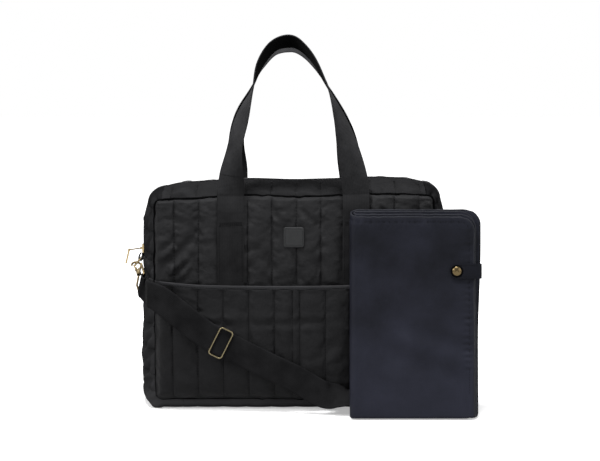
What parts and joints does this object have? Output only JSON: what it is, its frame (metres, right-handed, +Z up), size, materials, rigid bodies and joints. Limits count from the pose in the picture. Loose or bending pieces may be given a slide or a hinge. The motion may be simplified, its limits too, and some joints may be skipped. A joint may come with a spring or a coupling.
{
  "type": "baby changing bag",
  "caption": "Quilted nylon baby changing bag with webbing handles, zip top, front pocket, clip-on shoulder strap and a folded changing mat.",
  "frame": {"origin": "middle of the bag's flat bottom, on the floor", "axes": "+Z up, -Y towards the pocket side, +X to the right as seen from the pocket side"},
  "size_m": [0.4537, 0.2142, 0.4791],
  "materials": {
    "quilted_nylon": "soft quilted nylon with a satin sheen",
    "webbing": "woven nylon webbing",
    "zip_tape": "woven tape with a nylon coil",
    "lining": "plain woven lining",
    "binding": "folded edge binding",
    "badge": "grained patch, left bare",
    "mat_fabric": "wipe-clean padded fabric",
    "brass": "light gold plate"
  },
  "bodies": {
    "bag": {"front_panel": "quilted_nylon", "back_panel": "quilted_nylon", "bottom_gusset": "quilted_nylon", "left_side_gusset": "quilted_nylon", "right_side_gusset": "quilted_nylon", "left_front_strip": "quilted_nylon", "left_back_strip": "quilted_nylon", "right_front_strip": "quilted_nylon", "right_back_strip": "quilted_nylon", "lining": "lining", "pocket_panel": "quilted_nylon", "pocket_binding": "binding", "badge": "badge", "left_zip_run": "zip_tape", "right_zip_run": "zip_tape", "front_handle_legs": "webbing", "back_handle_legs": "webbing", "left_ring_tab": "webbing", "right_ring_tab": "webbing", "left_hook_eye": "brass", "right_hook_eye": "brass", "strap_webbing": "webbing"},
    "front_flap": {"front_flap": "quilted_nylon", "front_zip_half": "zip_tape"},
    "back_flap": {"back_flap": "quilted_nylon", "back_zip_half": "zip_tape"},
    "front_handle": {"front_handle": "webbing"},
    "back_handle": {"back_handle": "webbing"},
    "zip_slider": {"zip_slider": "brass"},
    "zip_link": {"zip_link": "brass"},
    "zip_pull": {"zip_pull": "brass"},
    "left_d_ring": {"left_d_ring": "brass"},
    "right_d_ring": {"right_d_ring": "brass"},
    "left_hook": {"left_hook_body": "brass"},
    "right_hook": {"right_hook_body": "brass"},
    "left_gate": {"left_hook_gate": "brass"},
    "right_gate": {"right_hook_gate": "brass"},
    "strap_adjuster": {"strap_adjuster": "brass"},
    "changing_mat": {"mat_sheet": "mat_fabric", "mat_tab_root": "mat_fabric", "snap_stud": "brass"},
    "mat_tab": {"mat_tab_flap": "mat_fabric", "snap_cap": "brass", "snap_socket": "brass"}
  },
  "joints": [
    {"name": "front_flap_lift", "type": "hinge", "parent": "bag", "child": "front_flap", "pos_m": [0, -0.065, 0.275], "axis": [1, 0, 0], "range_deg": [0, 45]},
    {"name": "back_flap_lift", "type": "hinge", "parent": "bag", "child": "back_flap", "pos_m": [0, 0.065, 0.275], "axis": [-1, 0, 0], "range_deg": [0, 45]},
    {"name": "front_handle_fold", "type": "hinge", "parent": "bag", "child": "front_handle", "pos_m": [0, -0.07105, 0.276], "axis": [1, 0, 0], "range_deg": [-8, 86]},
    {"name": "back_handle_fold", "type": "hinge", "parent": "bag", "child": "back_handle", "pos_m": [0, 0.07105, 0.276], "axis": [-1, 0, 0], "range_deg": [-8, 150]},
    {"name": "zip_slider_run", "type": "slide", "parent": "bag", "child": "zip_slider", "axis": [0, 0, 1], "range_m": [0, 0.036]},
    {"name": "zip_link_turn", "type": "hinge", "parent": "zip_slider", "child": "zip_link", "pos_m": [-0.20005, 0, 0.2005], "axis": [0, 1, 0], "range_deg": [-8, 80]},
    {"name": "zip_pull_turn", "type": "hinge", "parent": "zip_link", "child": "zip_pull", "pos_m": [-0.21585, 0, 0.198], "axis": [0, 1, 0], "range_deg": [-25, 70]},
    {"name": "left_ring_swing", "type": "hinge", "parent": "bag", "child": "left_d_ring", "pos_m": [-0.20055, 0, 0.187], "axis": [0, 1, 0], "range_deg": [-8, 2]},
    {"name": "right_ring_swing", "type": "hinge", "parent": "bag", "child": "right_d_ring", "pos_m": [0.20055, 0, 0.187], "axis": [0, -1, 0], "range_deg": [-8, 2]},
    {"name": "left_hook_swivel", "type": "hinge", "parent": "bag", "child": "left_hook", "pos_m": [-0.20514, -0.01271, 0.17891], "axis": [-0.2695, 0.7405, 0.6157], "range_deg": [-4, 20]},
    {"name": "right_hook_swivel", "type": "hinge", "parent": "bag", "child": "right_hook", "pos_m": [0.20514, -0.01271, 0.17891], "axis": [-0.2695, -0.7405, -0.6157], "range_deg": [-4, 20]},
    {"name": "left_gate_open", "type": "hinge", "parent": "left_hook", "child": "left_gate", "pos_m": [-0.20577, -0.01776, 0.17537], "axis": [-0.2106, 0.5785, -0.788], "range_deg": [0, 18], "stiffness_Nm_per_rad": 0.05},
    {"name": "right_gate_open", "type": "hinge", "parent": "right_hook", "child": "right_gate", "pos_m": [0.20577, -0.01776, 0.17537], "axis": [-0.2106, -0.5785, 0.788], "range_deg": [0, 18], "stiffness_Nm_per_rad": 0.05},
    {"name": "adjuster_run", "type": "slide", "parent": "bag", "child": "strap_adjuster", "axis": [0.8944, 0, -0.4472], "range_m": [0, 0.07]},
    {"name": "mat_lift", "type": "slide", "parent": "bag", "child": "changing_mat", "axis": [0, -0.35, 0.9367], "range_m": [0, 0.35]},
    {"name": "mat_tab_open", "type": "hinge", "parent": "changing_mat", "child": "mat_tab", "pos_m": [0.2327, -0.10445, 0.18425], "axis": [0, 0.1395, 0.9902], "range_deg": [0, 150]}
  ]
}
